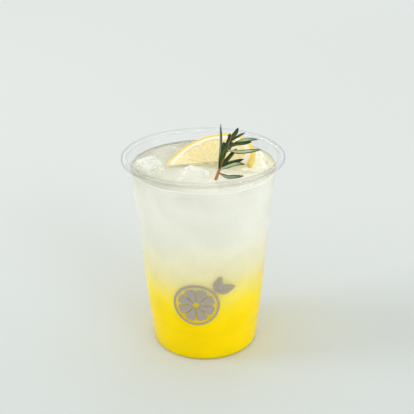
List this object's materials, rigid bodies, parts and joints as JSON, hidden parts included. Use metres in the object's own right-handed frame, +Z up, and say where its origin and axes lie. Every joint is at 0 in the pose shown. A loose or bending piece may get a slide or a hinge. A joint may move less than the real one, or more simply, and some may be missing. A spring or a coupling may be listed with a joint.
{
  "type": "cup of yuzu soda",
  "caption": "Clear disposable cup of layered citrus soda with ice at the surface, half a slice of yellow citrus and a sprig of rosemary",
  "frame": {"origin": "Middle of the foot, on the surface that the cup stands on", "axes": "+Z up along the axis of the cup, front of the cup facing -Y, +X to the right seen from the front"},
  "size_m": [0.092, 0.092, 0.1393],
  "materials": {
    "clear_cup": "clear glossy thermoformed sheet",
    "yellow_syrup": "cloudy saturated yellow syrup",
    "pale_soda": "faintly cloudy pale soda",
    "ice": "clear wet ice with a cloudy core",
    "citrus": "wet yellow flesh, white pith and oily yellow rind",
    "rosemary": "leathery dark green needles, pale underneath"
  },
  "bodies": {
    "root": {"cup": "clear_cup", "syrup": "yellow_syrup", "soda": "pale_soda", "ice_left": "ice", "ice_back": "ice", "ice_right": "ice", "ice_front": "ice", "citrus_slice": "citrus", "rosemary_sprig": "rosemary"}
  },
  "joints": []
}
